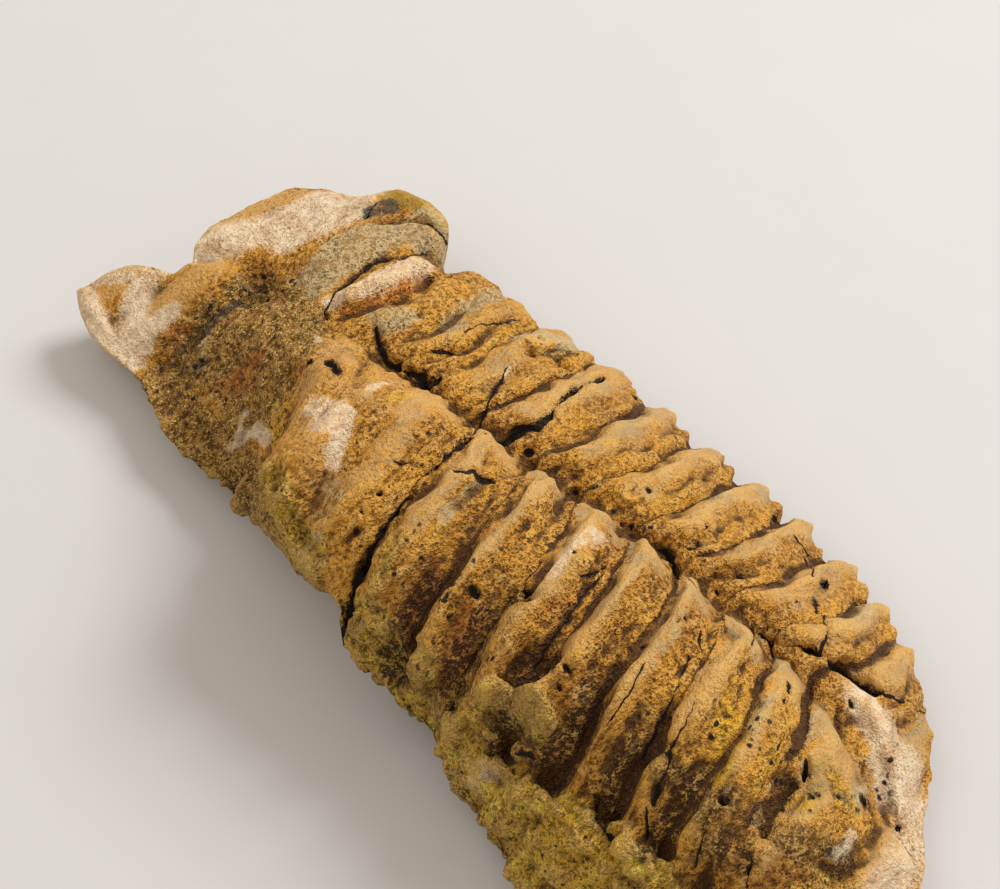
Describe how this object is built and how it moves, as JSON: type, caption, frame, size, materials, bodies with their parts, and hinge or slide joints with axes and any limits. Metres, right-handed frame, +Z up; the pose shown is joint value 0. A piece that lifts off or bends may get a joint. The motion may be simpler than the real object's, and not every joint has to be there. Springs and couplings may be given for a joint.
{
  "type": "fossil trilobite",
  "caption": "Weathered ochre fossil trilobite lying belly down, ringed axis and ribbed side lobes, with a broken head and rock on one flank.",
  "frame": {"origin": "centre of the footprint, on the surface that the stone lies on", "axes": "+X along the body from the broken head to the tail, +Y to the animal's right side, +Z up out of its back"},
  "size_m": [0.0808, 0.0392, 0.0163],
  "materials": {
    "fossil_stone": "matt, gritty ochre-brown fossil limestone with pale crusts"
  },
  "bodies": {
    "root": {"trilobite_fossil": "fossil_stone"}
  },
  "joints": []
}
